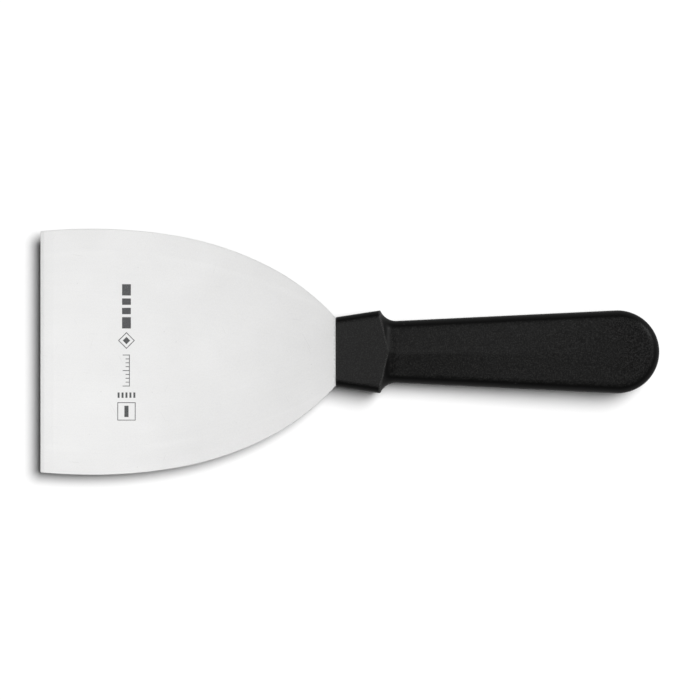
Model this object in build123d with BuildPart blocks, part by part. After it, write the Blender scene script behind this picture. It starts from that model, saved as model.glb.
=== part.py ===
"""Ink knife: a wide stainless steel blade with a plastic handle moulded over its tang.

Millimetres. +X runs along the knife from the cutting edge to the butt of the handle, +Y across the
blade and +Z up, square to the blade. The origin is the middle of the knife's bounding box, at its
lowest height, so the level knife stands on Z = 0.
"""

import os
from math import asin, cos, degrees, radians, tan

from build123d import *

# --- blade -----------------------------------------------------------------------------------
BLADE_LENGTH = 120.0  # cutting edge to the front of the handle
BLADE_WIDTH = 100.0
WIDEST_AT = 21.5  # from the cutting edge
FRONT_ARC_RADIUS = 230.0  # from the widest place forward to the cutting edge
SIDE_ARCS = ((200.0, 10.0), (130.0, 17.0), (95.0, 25.5))  # radius and turn, from the widest place back
EDGE_CORNER_RADIUS = 0.4

TANG_THICKNESS = 1.6
GRIND_LINE_GAP = 0.7  # the ground faces stop this far in front of the handle
RUN_OUT_LENGTH = 0.3  # of the step from the ground faces to the full thickness
GROUND_THICKNESS = 1.4  # at the grind line
BEVEL_LENGTH = 5.3
BEVEL_THICKNESS = 1.0  # where the ground faces meet the bevel
MICRO_BEVEL_LENGTH = 1.5
MICRO_BEVEL_THICKNESS = 0.6
EDGE_THICKNESS = 0.2

TANG_END_WIDTH = 12.0
TANG_LENGTH = 96.0  # inside the handle
TANG_END_RADIUS = 5.0
TANG_ROOT_RADIUS = 4.0
KEY_HOLE_RADIUS = 3.0  # the handle's plastic runs through these holes and keys it to the tang
KEY_HOLE_COUNT = 3
KEY_HOLE_SPACING = 26.0
FIRST_KEY_HOLE = 28.0  # from the front of the handle

# --- handle ----------------------------------------------------------------------------------
HANDLE_LENGTH = 131.4
HANDLE_THICKNESS = 18.0
DRAFT = 2.0  # degrees, each way from the parting line at mid thickness
PARTING_RADIUS = 3.0  # rounds the faint corner that the draft makes along the parting line

BOLSTER_LENGTH = 24.6  # front of the handle to the neck, its narrowest place
BOLSTER_HALF_WIDTH = 14.1  # at the front of the handle
BOLSTER_FLARE = 8.7  # degrees each side
BOLSTER_HALF_HEIGHT = 6.0  # at the front of the handle
BOLSTER_RISE = 4.6  # degrees, top and bottom
BOLSTER_SHOULDER_RADIUS = 3.4
BOLSTER_FRONT_RADIUS = 0.6
COVE_RADIUS = 7.0  # the hollow round the neck, at the back of the bolster
COVE_BITE = 0.01  # the cove runs this deep into the grip, so that the two surfaces cross cleanly
COVE_RIM_RADIUS = 0.4

NECK_HALF_WIDTH = 12.58
BUTT_RADIUS = 16.9
GRIP_SHOULDER_RADIUS = 4.6
# Along the grip: distance from the front of the handle, height of the crown above the parting line,
# slope of the two facets beside it in degrees, and the radius that rounds it.
GRIP_STATIONS = (
    (16.0, 6.8, 12.0, 5.0),
    (BOLSTER_LENGTH, 7.0, 12.0, 5.0),
    (55.0, 8.0, 9.5, 6.0),
    (85.0, 8.75, 5.5, 20.0),
    (HANDLE_LENGTH - BUTT_RADIUS, HANDLE_THICKNESS / 2, 2.5, 150.0),
)

# --- places ----------------------------------------------------------------------------------
overall_length = BLADE_LENGTH + HANDLE_LENGTH
edge_x = -overall_length / 2
handle_x = edge_x + BLADE_LENGTH
grind_line_x = handle_x - GRIND_LINE_GAP
neck_x = handle_x + BOLSTER_LENGTH
tang_end_x = handle_x + TANG_LENGTH
butt_centre_x = overall_length / 2 - BUTT_RADIUS
mid_z = HANDLE_THICKNESS / 2
mid_plane = Plane.XY.offset(mid_z)
side_plane = Plane(origin=(0, 0, mid_z), x_dir=(1, 0, 0), z_dir=(0, -1, 0))


def cross_plane(distance):
    """The plane across the knife at this distance behind the front of the handle: x is +Y, y is +Z."""
    return Plane(origin=(handle_x + distance, 0, mid_z), x_dir=(0, 1, 0), z_dir=(1, 0, 0))


def grip_half_width(distance):
    """Half the grip's width, which grows in a straight line from the neck to the round butt."""
    share = (distance - BOLSTER_LENGTH) / (HANDLE_LENGTH - BUTT_RADIUS - BOLSTER_LENGTH)
    return NECK_HALF_WIDTH + share * (BUTT_RADIUS - NECK_HALF_WIDTH)


def moulded_outline(
    half_width, crown_height, facet_slope, shoulder_radius, crown_radius, grown_by=0
):
    """Draw a moulded section: sides that lean in from the parting line, under two sloping facets.

    The whole outline can be grown outwards, square to itself.
    """
    lean = tan(radians(DRAFT))
    fall = tan(radians(facet_slope))
    half_width += grown_by / cos(radians(DRAFT))
    cut_off = (crown_radius + grown_by) * (1 / cos(radians(facet_slope)) - 1)
    peak = crown_height + grown_by + cut_off
    shoulder_height = (peak - fall * half_width) / (1 - fall * lean)
    shoulder_width = half_width - lean * shoulder_height
    corners = (
        (half_width, 0, PARTING_RADIUS),
        (shoulder_width, shoulder_height, shoulder_radius),
        (0, peak, crown_radius),
        (-shoulder_width, shoulder_height, shoulder_radius),
        (-half_width, 0, PARTING_RADIUS),
        (-shoulder_width, -shoulder_height, shoulder_radius),
        (0, -peak, crown_radius),
        (shoulder_width, -shoulder_height, shoulder_radius),
    )
    points = [(x, y) for x, y, radius in corners]
    radii = [radius + grown_by for x, y, radius in corners]
    FilletPolyline(*points, radius=radii, close=True)


def is_cove_rim(edge):
    """Whether an edge lies just behind the bolster, where the cove cuts it, and ends before the neck."""
    extent = edge.bounding_box()
    return neck_x - COVE_RADIUS < extent.min.X and extent.max.X < neck_x - COVE_RADIUS / 3


def grip_outline(distance, crown_height, facet_slope, crown_radius, grown_by=0):
    """Draw the grip's section at this distance behind the front of the handle."""
    half_width = grip_half_width(distance)
    moulded_outline(
        half_width, crown_height, facet_slope, GRIP_SHOULDER_RADIUS, crown_radius, grown_by
    )


# --- blade and tang, one piece of sheet steel --------------------------------------------------
with BuildPart() as blade:
    with BuildSketch(mid_plane) as outline:
        with BuildLine():
            widest = (edge_x + WIDEST_AT, BLADE_WIDTH / 2)
            front_turn = degrees(asin(WIDEST_AT / FRONT_ARC_RADIUS))
            front_arc = JernArc(widest, (-1, 0), FRONT_ARC_RADIUS, front_turn)
            Line(front_arc @ 1, (edge_x, 0))
            start, direction = widest, (1, 0)
            for radius, turn in SIDE_ARCS:
                side_arc = JernArc(start, direction, radius, -turn)
                start, direction = side_arc @ 1, side_arc % 1
            Polyline(start, (tang_end_x, TANG_END_WIDTH / 2), (tang_end_x, 0))
            mirror(about=Plane.XZ)
        make_face()
        fillet(outline.vertices().group_by(Axis.X)[-2], TANG_ROOT_RADIUS)
        fillet(outline.vertices().group_by(Axis.X)[-1], TANG_END_RADIUS)
        fillet(outline.vertices().group_by(Axis.X)[0], EDGE_CORNER_RADIUS)
    extrude(amount=TANG_THICKNESS / 2, both=True)

    # Cut to its thickness along the knife.
    with BuildSketch(side_plane):
        with BuildLine():
            upper = Polyline(
                (edge_x, EDGE_THICKNESS / 2),
                (edge_x + MICRO_BEVEL_LENGTH, MICRO_BEVEL_THICKNESS / 2),
                (edge_x + BEVEL_LENGTH, BEVEL_THICKNESS / 2),
                (grind_line_x, GROUND_THICKNESS / 2),
                (grind_line_x + RUN_OUT_LENGTH, TANG_THICKNESS / 2),
                (tang_end_x, TANG_THICKNESS / 2),
            )
            Line(upper @ 1, (tang_end_x, 0))
            Line(upper @ 0, (edge_x, 0))
            mirror(about=Plane.XZ)
        make_face()
    extrude(amount=BLADE_WIDTH, both=True, mode=Mode.INTERSECT)

    with BuildSketch(mid_plane):
        for number in range(KEY_HOLE_COUNT):
            with Locations((handle_x + FIRST_KEY_HOLE + number * KEY_HOLE_SPACING, 0)):
                Circle(KEY_HOLE_RADIUS)
    extrude(amount=TANG_THICKNESS, both=True, mode=Mode.SUBTRACT)

# --- handle, one moulding round the tang ---------------------------------------------------------
# The cove follows the neck's outline, one cove radius outside it.
with BuildLine(cross_plane(BOLSTER_LENGTH)) as cove_path:
    grip_outline(*GRIP_STATIONS[1], grown_by=COVE_RADIUS - COVE_BITE)

with BuildPart() as handle:
    # bolster: this and the grip are first made as their +Y half
    for distance in (0, BOLSTER_LENGTH):
        with BuildSketch(cross_plane(distance)):
            with BuildLine():
                moulded_outline(
                    BOLSTER_HALF_WIDTH + distance * tan(radians(BOLSTER_FLARE)),
                    BOLSTER_HALF_HEIGHT + distance * tan(radians(BOLSTER_RISE)),
                    0,
                    BOLSTER_SHOULDER_RADIUS,
                    0,
                )
            make_face()
            split(bisect_by=Plane.YZ)
    loft(ruled=True)
    with BuildSketch(Plane(origin=cove_path.line @ 0, z_dir=cove_path.line % 0)):
        Circle(COVE_RADIUS)
    sweep(path=cove_path.line, mode=Mode.SUBTRACT)

    # grip
    for station in GRIP_STATIONS:
        with BuildSketch(cross_plane(station[0])):
            with BuildLine():
                grip_outline(*station)
            make_face()
            split(bisect_by=Plane.YZ)
    loft()

    # round butt: the grip's end, turned a quarter about the vertical
    grip_end = handle.faces().sort_by(Axis.X)[-1]
    revolve(grip_end, axis=Axis((butt_centre_x, 0, 0), (0, 0, -1)), revolution_arc=90)

    # the other half
    mirror(about=Plane.XZ)
    fillet(handle.faces().sort_by(Axis.X)[0].edges(), BOLSTER_FRONT_RADIUS)
    fillet(handle.edges().filter_by(is_cove_rim), COVE_RIM_RADIUS)

    # seat of the tang, with the plugs of plastic in its key holes
    add(blade.part, mode=Mode.SUBTRACT)

# --- the separate pieces -------------------------------------------------------------------------
os.makedirs("parts", exist_ok=True)

blade.part.label = "blade"
export_step(blade.part, "parts/blade.step")

handle.part.label = "handle"
export_step(handle.part, "parts/handle.step")
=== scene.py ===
"""Looks of the ink knife: satin steel, spark-textured black plastic, a printed mark, soft light.

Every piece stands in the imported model's own frame, in metres: +X from the cutting edge to the butt,
+Y across the blade, +Z up from the floor that the handle stands on.
"""

import math

import bmesh
import bpy
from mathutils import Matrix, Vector


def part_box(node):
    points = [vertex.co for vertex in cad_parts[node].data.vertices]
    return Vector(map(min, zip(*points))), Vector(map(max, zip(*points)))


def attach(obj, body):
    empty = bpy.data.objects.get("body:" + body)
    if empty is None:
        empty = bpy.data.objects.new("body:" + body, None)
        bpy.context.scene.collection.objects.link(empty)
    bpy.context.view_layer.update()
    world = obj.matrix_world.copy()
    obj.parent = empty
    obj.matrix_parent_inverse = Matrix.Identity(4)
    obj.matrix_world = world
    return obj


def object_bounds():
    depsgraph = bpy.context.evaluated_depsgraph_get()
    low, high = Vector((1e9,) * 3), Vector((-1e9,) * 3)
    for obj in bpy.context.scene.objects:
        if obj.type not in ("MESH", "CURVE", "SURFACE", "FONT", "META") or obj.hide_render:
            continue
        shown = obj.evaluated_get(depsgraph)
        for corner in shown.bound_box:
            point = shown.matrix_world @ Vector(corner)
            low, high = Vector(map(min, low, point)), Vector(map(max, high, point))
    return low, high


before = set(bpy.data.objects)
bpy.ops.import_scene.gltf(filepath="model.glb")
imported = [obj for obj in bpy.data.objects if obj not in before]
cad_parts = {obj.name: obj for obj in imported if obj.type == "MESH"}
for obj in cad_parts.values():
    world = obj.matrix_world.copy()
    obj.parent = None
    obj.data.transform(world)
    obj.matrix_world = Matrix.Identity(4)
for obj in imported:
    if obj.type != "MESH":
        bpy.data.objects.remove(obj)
cad_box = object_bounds()

MM = 0.001
low, high = cad_box
blade_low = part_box("blade")[0]
handle_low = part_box("handle")[0]
mid_z = (low.z + high.z) / 2

WHITE = (1, 1, 1, 1)
BLACK = (0, 0, 0, 1)

# --- camera, light and floor -------------------------------------------------------------------
VIEW_WIDTH = 284.6 * MM  # what the picture spans at the knife's middle height
VIEW_CENTRE = Vector((0.15 * MM, 0.75 * MM, mid_z))
CAMERA_HEIGHT = 1500 * MM  # above the knife's middle height
SENSOR_WIDTH = 36.0

# The key light makes the shadow. Its lean is how far it stands towards +X and +Y for each unit of
# height, and its spread is its radius for each unit of distance.
KEY_LEAN = Vector((0.445, 0.263, 1.0))
KEY_SPREAD = 0.325
KEY_STRENGTH = 3.8

# Soft boxes that only reflections see: lean as above, radiance, and the node that they light.
BOX_HEIGHT = 900 * MM
BOX_SIZE = 585 * MM
SOFT_BOXES = {
    "box_above_blade": (Vector((-0.15, -0.02, 1.0)), 1.565, ("blade",)),
    "box_above_handle": (Vector((-0.3, 0.0, 1.0)), 1.7, ("handle",)),
    "box_left": (Vector((-0.8, -0.15, 1.0)), 0.7, ("blade", "handle")),
    "box_back": (Vector((0.0, 0.65, 1.0)), 0.6, ("handle",)),
    "box_right": (Vector((0.95, 0.0, 1.0)), 0.9, ("handle",)),
    "box_behind_handle": (Vector((1.65, 1.03, 1.0)), 6.0, ("handle",)),
}
# Walls of light on all four sides show the form when the knife is seen from the side: distance, height
# of the middle, how tall, and radiance, for the node that they light.
WALLS = {
    "blade": (1320 * MM, 660 * MM, 1250 * MM, 0.75),
    "handle": (1320 * MM, 160 * MM, 350 * MM, 0.25),
}
WALL_WIDTH = 2600 * MM
SKY_STRENGTH = 0.1

FLOOR_SIZE = 6.0  # metres
FLOOR_WHITE = 0.9
FLOOR_IN_REFLECTIONS = 0.3  # duller, as black cards round the knife would make it
FLOOR_ROUGHNESS = 0.9

# --- steel -------------------------------------------------------------------------------------
# A tone is a share of the colour, and the rest is black. Each named mask adds its weight to it.
STEEL_COLOUR = (1.0, 0.999, 0.995, 1)
# Painted shade: the steel's tone falls from the cutting edge to the handle, so the blade is drawn darker
# near the handle.
SHADE_RAMP_TONE_AT_EDGE = 0.665
SHADE_RAMP_TONE_AT_HANDLE = 0.61
STEEL_TONE = {
    "grain": 0.09,
    "cloud": 0.08,
    "streaks": 0.03,
    # a lighter band along the long edges: painted reflection
    "taper_reflection": 0.018,
    "scratches": -0.06,
    "dots": -0.12,
    "edges": 0.05,
    "run_out": -0.14,
}
STEEL_ROUGHNESS_BASE = 0.33
STEEL_ROUGHNESS = {"grain": 0.08, "streaks": 0.05, "edges": -0.08}
STEEL_RELIEF = {"across": 0.5, "scratches": -1.0}  # beside the grain's own relief, which is 1
STEEL_BUMP = 0.0012 * MM
STEEL_EDGE_RADIUS = 0.3 * MM
STEEL_WORN_EDGE = 0.35 * MM

STEEL_GRAIN = 0.45 * MM
STEEL_CLOUD = 22 * MM
# A stretch scales the places along the lines, so the smaller it is, the longer they are.
GRINDING_WIDTH = 0.3 * MM  # of fine lines along the blade
GRINDING_STRETCH = 0.02

WIDEST_AT = 21.5 * MM  # behind the cutting edge
LONG_EDGE_RADIUS = 200 * MM  # which the streaks follow
STREAK_WIDTH = 1.6 * MM
STREAK_STRETCH = 0.03
# The band is a painted reflection of the taper: a lighter line along the long edges.
BAND_FROM_MIDDLE = 39.8 * MM  # at the widest place
BAND_HALF_WIDTH = 2.2 * MM
BAND_PATCH = 35 * MM

SCRATCHES = ((8, 0.30 * MM, 0.765), (62, 0.35 * MM, 0.78), (-71, 0.26 * MM, 0.775))  # turn, width, limit
SCRATCH_STRETCH = 0.03
SCRATCH_FADE = 0.04
SCRATCH_PATCH = 9 * MM

DOT_SPACING = 5.0 * MM
DOT_CORE = 0.03  # in spacings: the dots are full out to here
DOT_RIM = 0.06  # and gone here
DOTLESS = 0.72  # this share of the places have no dot

RUN_OUT_NEAR = 0.4 * MM  # in front of the handle: the grinding marks are full up to here
RUN_OUT_FAR = 1.3 * MM  # and gone here
RUN_OUT_GRAIN = 0.9 * MM

# --- plastic -----------------------------------------------------------------------------------
PLASTIC_COLOUR = (1, 1, 0.98, 1)
PLASTIC_TONE_BASE = 0.0003
# The edges weight lightens the edges and the cove's rim: partly wear, partly a painted glint.
PLASTIC_TONE = {"grain": 0.0155, "cloud": 0.001, "specks": 0.03, "edges": 0.08}
PLASTIC_ROUGHNESS_BASE = 0.34
PLASTIC_ROUGHNESS = {"grain": 0.14, "cloud": 0.06, "edges": -0.1}
PLASTIC_RELIEF = {"pits": 0.5}  # beside the grain's own relief, which is 1
PLASTIC_SPECULAR = 0.235
PLASTIC_BUMP = 0.018 * MM
PLASTIC_WEAR_AND_GLINT_EDGE = 0.8 * MM

FLAT_TEXTURE_AND_SHADE_STARTS = 0.84  # how far a surface faces up or down before the mould's texture shows on it, with the lighter tone that leaves the shoulders and sides darker as painted shade
FLAT_TEXTURE_AND_SHADE_FULL = 0.96
PLASTIC_GRAIN = 0.5 * MM
PLASTIC_CLOUD = 14 * MM
PIT_SPACING = 0.55 * MM

SPECK_SPACING = 3.2 * MM
SPECK_CORE = 0.04  # in spacings, as for the dots
SPECK_RIM = 0.08
SPECKLESS = 0.86  # this share of the places have no speck

# --- ink ---------------------------------------------------------------------------------------
INK_COLOUR = (0.96, 0.98, 1, 1)
INK_TONE_BASE = 0.07
INK_TONE = {"mottle": 0.05, "thin": 0.12}
INK_ROUGHNESS_BASE = 0.45
INK_ROUGHNESS = {"mottle": 0.2}
INK_SPECULAR = 0.2
INK_BUMP = 0.01 * MM
INK_MOTTLE = 0.5 * MM
INK_THIN_SPOT = 0.25 * MM

# --- the printed mark, in mm, in a column that runs from +Y to -Y -----------------------------------
MARK_FROM_EDGE = 35.0  # the middle of the column, behind the cutting edge
INK_THICKNESS = 0.015
INK_SINK = 0.005  # the ink's underside lies this far inside the steel
RULE_WIDTH = 0.3
BLOCK_WIDTH = 3.6
BLOCKS = ((-25.2, 4.6), (-20.4, 2.6), (-16.6, 2.6), (-11.8, 4.6))  # place and length
DIAMOND_AT = -4.6
DIAMOND_REACH = 3.4  # from its middle to its corners
DIAMOND_LINE = 0.45
DIAMOND_HEART = 1.5
LADDER_RULE = (1.2, 7.6, 13.0)  # how far off the column's middle, place and length
FIRST_TICK_AT = 1.3
TICK_COUNT = 9
TICK_SPACING = 1.575
LONG_TICK_EVERY = 4
LONG_TICK = 2.6
SHORT_TICK = 1.4
BAR_COUNT = 5
BAR_SPACING = 1.6
BARS_AT = 17.6
BAR_SIZE = (0.8, 2.2)  # width and length
SQUARE_AT = 24.2
SQUARE_REACH = 3.7  # from its middle to its sides
SQUARE_BAR_SIZE = (1.7, 4.6)


def make_camera():
    data = bpy.data.cameras.new("camera")
    data.sensor_width = SENSOR_WIDTH
    data.lens = SENSOR_WIDTH * CAMERA_HEIGHT / VIEW_WIDTH
    data.clip_start = 0.05
    data.clip_end = 20
    camera = bpy.data.objects.new("camera", data)
    camera.location = VIEW_CENTRE + Vector((0, 0, CAMERA_HEIGHT))
    bpy.context.scene.collection.objects.link(camera)
    bpy.context.scene.camera = camera


def place_light(data, lean, height):
    """Put a light at this height, leaning as given and turned to the knife."""
    light = bpy.data.objects.new(data.name, data)
    light.location = lean * height
    light.rotation_mode = "QUATERNION"
    light.rotation_quaternion = lean.to_track_quat("Z", "Y")
    light.visible_camera = False
    bpy.context.scene.collection.objects.link(light)
    return light


def make_key():
    data = bpy.data.lights.new("key", "SUN")
    data.energy = KEY_STRENGTH
    data.angle = 2 * math.atan(KEY_SPREAD)
    key = place_light(data, KEY_LEAN, BOX_HEIGHT)
    key.visible_glossy = False


def make_soft_box(name, lean, height, size, radiance, lit):
    """A rectangle of light, seen only in the reflections of the nodes that it lights."""
    data = bpy.data.lights.new(name, "AREA")
    data.shape = "RECTANGLE"
    data.size, data.size_y = size
    data.energy = math.pi * data.size * data.size_y * radiance
    soft_box = place_light(data, lean, height)
    soft_box.visible_diffuse = False
    receivers = bpy.data.collections.new(name + "_lights")
    for node in lit:
        receivers.objects.link(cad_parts[node])
    soft_box.light_linking.receiver_collection = receivers


def make_soft_boxes():
    for name, (lean, radiance, lit) in SOFT_BOXES.items():
        make_soft_box(name, lean, BOX_HEIGHT, (BOX_SIZE, BOX_SIZE), radiance, lit)
    for node, (distance, height, tall, radiance) in WALLS.items():
        size = (WALL_WIDTH, tall)
        for quarter in range(4):
            turn = quarter * math.pi / 2
            lean = Vector((distance * math.cos(turn), distance * math.sin(turn), height)) / height
            make_soft_box(f"{node}_wall_{quarter}", lean, height, size, radiance, (node,))


def make_sky():
    """A faint even sky, white only where the camera looks straight at it."""
    world = bpy.data.worlds.new("sky")
    world.use_nodes = True
    nodes = world.node_tree.nodes
    links = world.node_tree.links
    path = nodes.new("ShaderNodeLightPath")
    faint = nodes["Background"]
    faint.inputs["Color"].default_value = WHITE
    faint.inputs["Strength"].default_value = SKY_STRENGTH
    white = nodes.new("ShaderNodeBackground")
    white.inputs["Color"].default_value = WHITE
    mix = nodes.new("ShaderNodeMixShader")
    links.new(path.outputs["Is Camera Ray"], mix.inputs["Fac"])
    links.new(faint.outputs["Background"], mix.inputs[1])
    links.new(white.outputs["Background"], mix.inputs[2])
    links.new(mix.outputs["Shader"], nodes["World Output"].inputs["Surface"])
    bpy.context.scene.world = world


def floor_paper():
    """White paper, duller in reflections, and black as seen from dull surfaces: a deep shadow."""
    material = bpy.data.materials.new("floor_paper")
    material.use_nodes = True
    nodes = material.node_tree.nodes
    links = material.node_tree.links
    shader = nodes["Principled BSDF"]
    shader.inputs["Roughness"].default_value = FLOOR_ROUGHNESS
    shader.inputs["Specular IOR Level"].default_value = 0.0
    path = nodes.new("ShaderNodeLightPath")
    white = nodes.new("ShaderNodeMapRange")
    white.inputs["To Min"].default_value = FLOOR_WHITE
    white.inputs["To Max"].default_value = FLOOR_IN_REFLECTIONS
    first_bounce = nodes.new("ShaderNodeMath")
    first_bounce.operation = "LESS_THAN"
    first_bounce.inputs[1].default_value = 1.0
    albedo = nodes.new("ShaderNodeMath")
    albedo.operation = "MULTIPLY"
    links.new(path.outputs["Is Glossy Ray"], white.inputs["Value"])
    links.new(path.outputs["Diffuse Depth"], first_bounce.inputs[0])
    links.new(white.outputs["Result"], albedo.inputs[0])
    links.new(first_bounce.outputs["Value"], albedo.inputs[1])
    links.new(albedo.outputs["Value"], shader.inputs["Base Color"])
    return material


def make_floor():
    mesh = bpy.data.meshes.new("floor")
    half = FLOOR_SIZE / 2
    corners = [(-half, -half, 0), (half, -half, 0), (half, half, 0), (-half, half, 0)]
    mesh.from_pydata(corners, [], [(0, 1, 2, 3)])
    mesh.materials.append(floor_paper())
    floor = bpy.data.objects.new("floor", mesh)
    floor.location.z = low.z
    bpy.context.scene.collection.objects.link(floor)


# --- material helpers ----------------------------------------------------------------------------
class Shading:
    """A new material with short calls for its nodes. Sockets and plain numbers mix freely."""

    def __init__(self, name):
        self.material = bpy.data.materials.new(name)
        self.material.use_nodes = True
        self.tree = self.material.node_tree
        self.shader = self.tree.nodes["Principled BSDF"]
        where = self.tree.nodes.new("ShaderNodeTexCoord")
        self.place = where.outputs["Object"]
        self.facing = where.outputs["Normal"]

    def put(self, socket, value):
        if isinstance(value, bpy.types.NodeSocket):
            self.tree.links.new(value, socket)
        else:
            socket.default_value = value

    def give(self, name, value):
        """Set one of the shader's own inputs."""
        self.put(self.shader.inputs[name], value)

    def maths(self, operation, *values):
        node = self.tree.nodes.new("ShaderNodeMath")
        node.operation = operation
        for socket, value in zip(node.inputs, values):
            self.put(socket, value)
        return node.outputs["Value"]

    def weigh(self, start, masks, weights):
        """Add each named mask to the start, times its weight."""
        for name, weight in weights.items():
            start = self.maths("MULTIPLY_ADD", masks[name], weight, start)
        return start

    def split(self, vector):
        node = self.tree.nodes.new("ShaderNodeSeparateXYZ")
        self.put(node.inputs["Vector"], vector)
        return node.outputs["X"], node.outputs["Y"], node.outputs["Z"]

    def join(self, x, y, z):
        node = self.tree.nodes.new("ShaderNodeCombineXYZ")
        for name, value in (("X", x), ("Y", y), ("Z", z)):
            self.put(node.inputs[name], value)
        return node.outputs["Vector"]

    def stretched(self, scale, turn=0.0):
        """The place turned about Z by so many degrees, then scaled along each axis."""
        turned = self.tree.nodes.new("ShaderNodeVectorRotate")
        turned.rotation_type = "Z_AXIS"
        turned.inputs["Angle"].default_value = math.radians(turn)
        self.put(turned.inputs["Vector"], self.place)
        scaled = self.tree.nodes.new("ShaderNodeVectorMath")
        scaled.operation = "MULTIPLY"
        self.put(scaled.inputs[0], turned.outputs["Vector"])
        scaled.inputs[1].default_value = scale
        return scaled.outputs["Vector"]

    def noise(self, size, detail=2.0, vector=None, roughness=0.5):
        """Noise from 0 to 1 whose blobs are about this size, in metres."""
        node = self.tree.nodes.new("ShaderNodeTexNoise")
        self.put(node.inputs["Vector"], vector or self.place)
        node.inputs["Scale"].default_value = 1 / size
        node.inputs["Detail"].default_value = detail
        node.inputs["Roughness"].default_value = roughness
        return node.outputs["Fac"]

    def patches(self, size, start, end, **noise):
        """Noise turned into patches: 0 where it is below start, and 1 where it is above end."""
        return self.ramp(self.noise(size, **noise), start, end)

    def scatter(self, spacing):
        """Scattered points: the distance from the nearest one, in spacings, and its own random share."""
        node = self.tree.nodes.new("ShaderNodeTexVoronoi")
        self.put(node.inputs["Vector"], self.place)
        node.inputs["Scale"].default_value = 1 / spacing
        share = self.tree.nodes.new("ShaderNodeSeparateColor")
        self.put(share.inputs["Color"], node.outputs["Color"])
        return node.outputs["Distance"], share.outputs["Red"]

    def dots(self, spacing, core, rim, empty, fade=0.02):
        """Round dots, full in the core and gone at the rim, at scattered points. A share stays empty."""
        distance, share = self.scatter(spacing)
        dot = self.ramp(distance, core, rim, 1.0, 0.0)
        return self.maths("MULTIPLY", dot, self.ramp(share, empty, empty + fade))

    def ramp(self, value, start, end, to_start=0.0, to_end=1.0, kind="SMOOTHSTEP"):
        """Carry a value from one range to another, clamped."""
        node = self.tree.nodes.new("ShaderNodeMapRange")
        node.interpolation_type = kind
        self.put(node.inputs["Value"], value)
        node.inputs["From Min"].default_value = start
        node.inputs["From Max"].default_value = end
        node.inputs["To Min"].default_value = to_start
        node.inputs["To Max"].default_value = to_end
        return node.outputs["Result"]

    def shade(self, tone, colour):
        """Give the base colour: this share of a colour, and the rest black."""
        node = self.tree.nodes.new("ShaderNodeMix")
        node.data_type = "RGBA"
        self.put(node.inputs["Factor"], tone)
        for name, value in (("A", BLACK), ("B", colour)):
            socket = next(s for s in node.inputs if s.name == name and s.type == "RGBA")
            self.put(socket, value)
        self.give("Base Color", next(s for s in node.outputs if s.type == "RGBA"))

    def rounded(self, radius, samples=6):
        """The surface's direction with its edges rounded off."""
        node = self.tree.nodes.new("ShaderNodeBevel")
        node.samples = samples
        node.inputs["Radius"].default_value = radius
        return node.outputs["Normal"]

    def edges(self, radius, blunt=0.9, flat=0.997):
        """1 along the edges of the piece, falling to 0 about one radius away from them.

        Blunt and flat say how nearly the rounded direction matches the real one, up to 1, where the
        mask is full and where it ends.
        """
        geometry = self.tree.nodes.new("ShaderNodeNewGeometry")
        dot = self.tree.nodes.new("ShaderNodeVectorMath")
        dot.operation = "DOT_PRODUCT"
        self.put(dot.inputs[0], self.rounded(radius))
        self.put(dot.inputs[1], geometry.outputs["Normal"])
        return self.ramp(dot.outputs["Value"], flat, blunt)

    def bump(self, height, depth, below=None):
        """Raise the surface by height, 0 to 1, times depth in metres."""
        node = self.tree.nodes.new("ShaderNodeBump")
        node.inputs["Strength"].default_value = 1.0
        node.inputs["Distance"].default_value = depth
        self.put(node.inputs["Height"], height)
        if below is not None:
            self.put(node.inputs["Normal"], below)
        self.give("Normal", node.outputs["Normal"])


# --- materials -----------------------------------------------------------------------------------
def long_edge_masks(steel, x, y):
    """Streaks that keep a steady distance from the curved long edges, and one lighter band along them, a
    painted reflection.
    """
    from_widest = steel.maths("SUBTRACT", x, blade_low.x + WIDEST_AT)
    squared = steel.maths("MULTIPLY", from_widest, from_widest)
    sag = steel.maths("MULTIPLY", squared, 0.5 / LONG_EDGE_RADIUS)
    inward = steel.maths("ADD", steel.maths("ABSOLUTE", y), sag)
    place = steel.join(steel.maths("MULTIPLY", x, STREAK_STRETCH), inward, steel.maths("SIGN", y))
    streaks = steel.noise(STREAK_WIDTH, detail=3.0, vector=place)
    band_gap = steel.maths("ABSOLUTE", steel.maths("SUBTRACT", inward, BAND_FROM_MIDDLE))
    taper_reflection = steel.ramp(band_gap, 0.0, BAND_HALF_WIDTH, 1.0, 0.0)
    return streaks, steel.maths("MULTIPLY", taper_reflection, steel.patches(BAND_PATCH, 0.35, 0.6))


def stray_scratches(steel):
    """Fine straight scratches in three directions, each in patches of its own."""
    scratches = 0.0
    for turn, width, limit in SCRATCHES:
        along = steel.stretched((SCRATCH_STRETCH, 1, 1), turn)
        line = steel.patches(width, limit, limit + SCRATCH_FADE, detail=0.0, vector=along)
        turned = steel.stretched((1, 1, 1), turn)
        patch = steel.patches(SCRATCH_PATCH, 0.55, 0.68, detail=1.0, vector=turned)
        scratches = steel.maths("MAXIMUM", scratches, steel.maths("MULTIPLY", line, patch))
    return scratches


def run_out_marks(steel, x):
    """Rough marks where the grinding wheel ran out, just in front of the handle."""
    gap = steel.maths("SUBTRACT", handle_low.x, x)
    near = steel.ramp(gap, RUN_OUT_NEAR, RUN_OUT_FAR, 1.0, 0.0)
    return steel.maths("MULTIPLY", near, steel.patches(RUN_OUT_GRAIN, 0.35, 0.65, detail=3.0))


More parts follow.
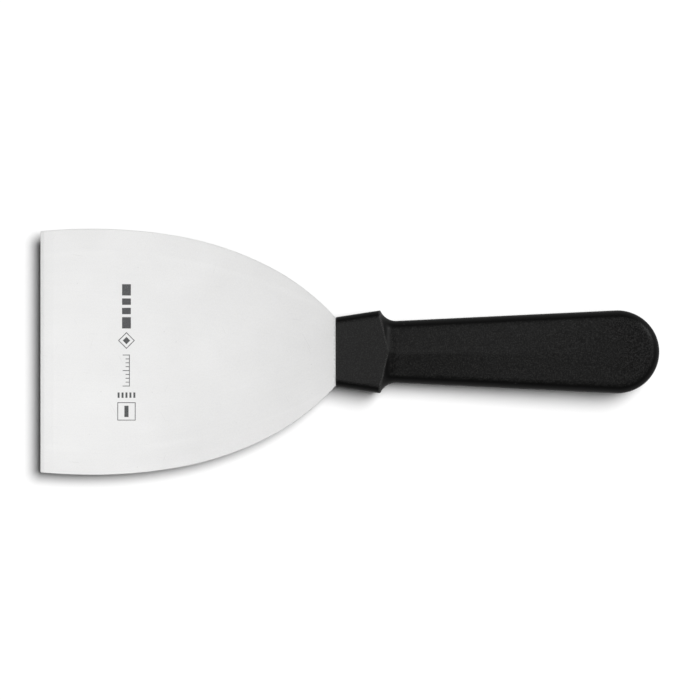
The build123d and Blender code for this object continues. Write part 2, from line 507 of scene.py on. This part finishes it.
def blade_steel():
    """Sheet steel, finely ground: even grain, faint streaks along the blade, a few stray scratches."""
    steel = Shading("satin_steel")
    x, y, _ = steel.split(steel.place)
    streaks, taper_reflection = long_edge_masks(steel, x, y)
    masks = {
        "grain": steel.noise(STEEL_GRAIN),
        "cloud": steel.noise(STEEL_CLOUD, detail=3.0),
        "across": steel.noise(GRINDING_WIDTH, vector=steel.stretched((GRINDING_STRETCH, 1, 1))),
        "streaks": streaks,
        "taper_reflection": taper_reflection,
        "scratches": stray_scratches(steel),
        "dots": steel.dots(DOT_SPACING, DOT_CORE, DOT_RIM, DOTLESS),
        "edges": steel.edges(STEEL_WORN_EDGE),
        "run_out": run_out_marks(steel, x),
    }
    # painted shade: the steel is darker towards the handle
    tone = steel.ramp(x, blade_low.x, handle_low.x, SHADE_RAMP_TONE_AT_EDGE, SHADE_RAMP_TONE_AT_HANDLE, "LINEAR")
    steel.shade(steel.weigh(tone, masks, STEEL_TONE), STEEL_COLOUR)
    steel.give("Roughness", steel.weigh(STEEL_ROUGHNESS_BASE, masks, STEEL_ROUGHNESS))
    steel.give("Metallic", 1.0)
    relief = steel.weigh(masks["grain"], masks, STEEL_RELIEF)
    steel.bump(relief, STEEL_BUMP, steel.rounded(STEEL_EDGE_RADIUS))
    return steel.material


def handle_plastic():
    """Black plastic: pitted by a spark-eroded mould on the flats, smooth on the shoulders and sides,
    which are darker as painted shade.
    """
    plastic = Shading("black_plastic")
    _, _, upward = plastic.split(plastic.facing)
    # The grain's lighter tone shows only on faces that point up or down, so the shoulders and sides are
    # darker as painted shade; the pits are the mould's.
    flat = plastic.ramp(plastic.maths("ABSOLUTE", upward), FLAT_TEXTURE_AND_SHADE_STARTS, FLAT_TEXTURE_AND_SHADE_FULL)
    grain = plastic.patches(PLASTIC_GRAIN, 0.44, 0.68, roughness=0.8)
    from_pit, _ = plastic.scatter(PIT_SPACING)
    masks = {
        "grain": plastic.maths("MULTIPLY", grain, flat),
        "pits": plastic.maths("MULTIPLY", from_pit, flat),
        "cloud": plastic.noise(PLASTIC_CLOUD),
        "specks": plastic.dots(SPECK_SPACING, SPECK_CORE, SPECK_RIM, SPECKLESS),
        # lighter along the edges and the cove's rim: wear and a painted glint
        "edges": plastic.edges(PLASTIC_WEAR_AND_GLINT_EDGE, blunt=0.95),
    }
    plastic.shade(plastic.weigh(PLASTIC_TONE_BASE, masks, PLASTIC_TONE), PLASTIC_COLOUR)
    plastic.give("Roughness", plastic.weigh(PLASTIC_ROUGHNESS_BASE, masks, PLASTIC_ROUGHNESS))
    plastic.give("Specular IOR Level", PLASTIC_SPECULAR)
    plastic.bump(plastic.weigh(masks["grain"], masks, PLASTIC_RELIEF), PLASTIC_BUMP)
    return plastic.material


def mark_ink():
    """Dark grey ink, a little uneven and worn thin in specks."""
    ink = Shading("mark_ink")
    masks = {
        "mottle": ink.noise(INK_MOTTLE, detail=3.0),
        "thin": ink.patches(INK_THIN_SPOT, 0.64, 0.74, detail=1.0),
    }
    ink.shade(ink.weigh(INK_TONE_BASE, masks, INK_TONE), INK_COLOUR)
    ink.give("Roughness", ink.weigh(INK_ROUGHNESS_BASE, masks, INK_ROUGHNESS))
    ink.give("Specular IOR Level", INK_SPECULAR)
    ink.bump(masks["mottle"], INK_BUMP)
    return ink.material


# --- the printed mark ------------------------------------------------------------------------------
class Mark:
    """A column of plain marks in one mesh. Places are mm: across the column, and along it from +Y."""

    def __init__(self, blade):
        self.blade = blade
        self.mesh = bmesh.new()

    def corner(self, across, along, rise):
        """A point that stands this far above the blade's upper face."""
        x = blade_low.x + (MARK_FROM_EDGE + across) * MM
        y = -along * MM
        on_blade = self.blade.ray_cast(Vector((x, y, high.z)), Vector((0, 0, -1)))[1]
        return self.mesh.verts.new((x, y, on_blade.z + rise * MM))

    def slab(self, outline):
        """A patch of ink with this outline."""
        top = [self.corner(across, along, INK_THICKNESS) for across, along in outline]
        foot = [self.corner(across, along, -INK_SINK) for across, along in outline]
        self.mesh.faces.new(top)
        self.mesh.faces.new(foot[::-1])
        for index, corner in enumerate(top):
            before = index - 1
            self.mesh.faces.new((top[before], foot[before], foot[index], corner))

    def bar(self, across, along, width, length):
        """A rectangle about its middle."""
        sides = ((-0.5, 0.5), (0.5, 0.5), (0.5, -0.5), (-0.5, -0.5))
        self.slab([(across + i * width, along + j * length) for i, j in sides])

    def ring(self, outer, inner):
        """A closed ring of ink between two outlines with equally many points."""
        top, foot = INK_THICKNESS, -INK_SINK
        loops = []
        for outline, rise in ((outer, top), (inner, top), (inner, foot), (outer, foot)):
            loops.append([self.corner(across, along, rise) for across, along in outline])
        for first, second in zip(loops, loops[1:] + loops[:1]):
            for index in range(len(first)):
                before = index - 1
                self.mesh.faces.new((first[before], first[index], second[index], second[before]))

    def finish(self, name):
        bmesh.ops.recalc_face_normals(self.mesh, faces=self.mesh.faces[:])
        data = bpy.data.meshes.new(name)
        self.mesh.to_mesh(data)
        self.mesh.free()
        piece = bpy.data.objects.new(name, data)
        bpy.context.scene.collection.objects.link(piece)
        return piece


def diamond(along, reach):
    return [(0, along + reach), (reach, along), (0, along - reach), (-reach, along)]


def square(along, reach):
    return [
        (-reach, along + reach),
        (reach, along + reach),
        (reach, along - reach),
        (-reach, along - reach),
    ]


def make_mark(blade):
    """Plain marks down the blade: four blocks, a diamond, a ladder of ticks, five bars and a square."""
    bpy.context.view_layer.update()
    mark = Mark(blade)

    for along, length in BLOCKS:
        mark.bar(0.0, along, BLOCK_WIDTH, length)

    mark.ring(diamond(DIAMOND_AT, DIAMOND_REACH), diamond(DIAMOND_AT, DIAMOND_REACH - DIAMOND_LINE))
    mark.slab(diamond(DIAMOND_AT, DIAMOND_HEART))

    # a ladder: one long rule, with ticks on one side
    rule_across, rule_along, rule_length = LADDER_RULE
    mark.bar(rule_across, rule_along, RULE_WIDTH, rule_length)
    for tick in range(TICK_COUNT):
        reach = SHORT_TICK if tick % LONG_TICK_EVERY else LONG_TICK
        across = rule_across - (reach + RULE_WIDTH) / 2
        mark.bar(across, FIRST_TICK_AT + tick * TICK_SPACING, reach, RULE_WIDTH)

    for number in range(BAR_COUNT):
        from_middle = number - (BAR_COUNT - 1) / 2
        mark.bar(from_middle * BAR_SPACING, BARS_AT, *BAR_SIZE)

    mark.ring(square(SQUARE_AT, SQUARE_REACH), square(SQUARE_AT, SQUARE_REACH - RULE_WIDTH))
    mark.bar(0.0, SQUARE_AT, *SQUARE_BAR_SIZE)

    piece = mark.finish("blade_print")
    piece.data.materials.append(mark_ink())
    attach(piece, "root")


def paint(node, material):
    for slot in node.material_slots:
        slot.material = material


bpy.context.scene.view_settings.view_transform = "Standard"
make_camera()
make_key()
make_soft_boxes()
make_sky()
make_floor()
paint(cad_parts["blade"], blade_steel())
paint(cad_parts["handle"], handle_plastic())
make_mark(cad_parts["blade"])
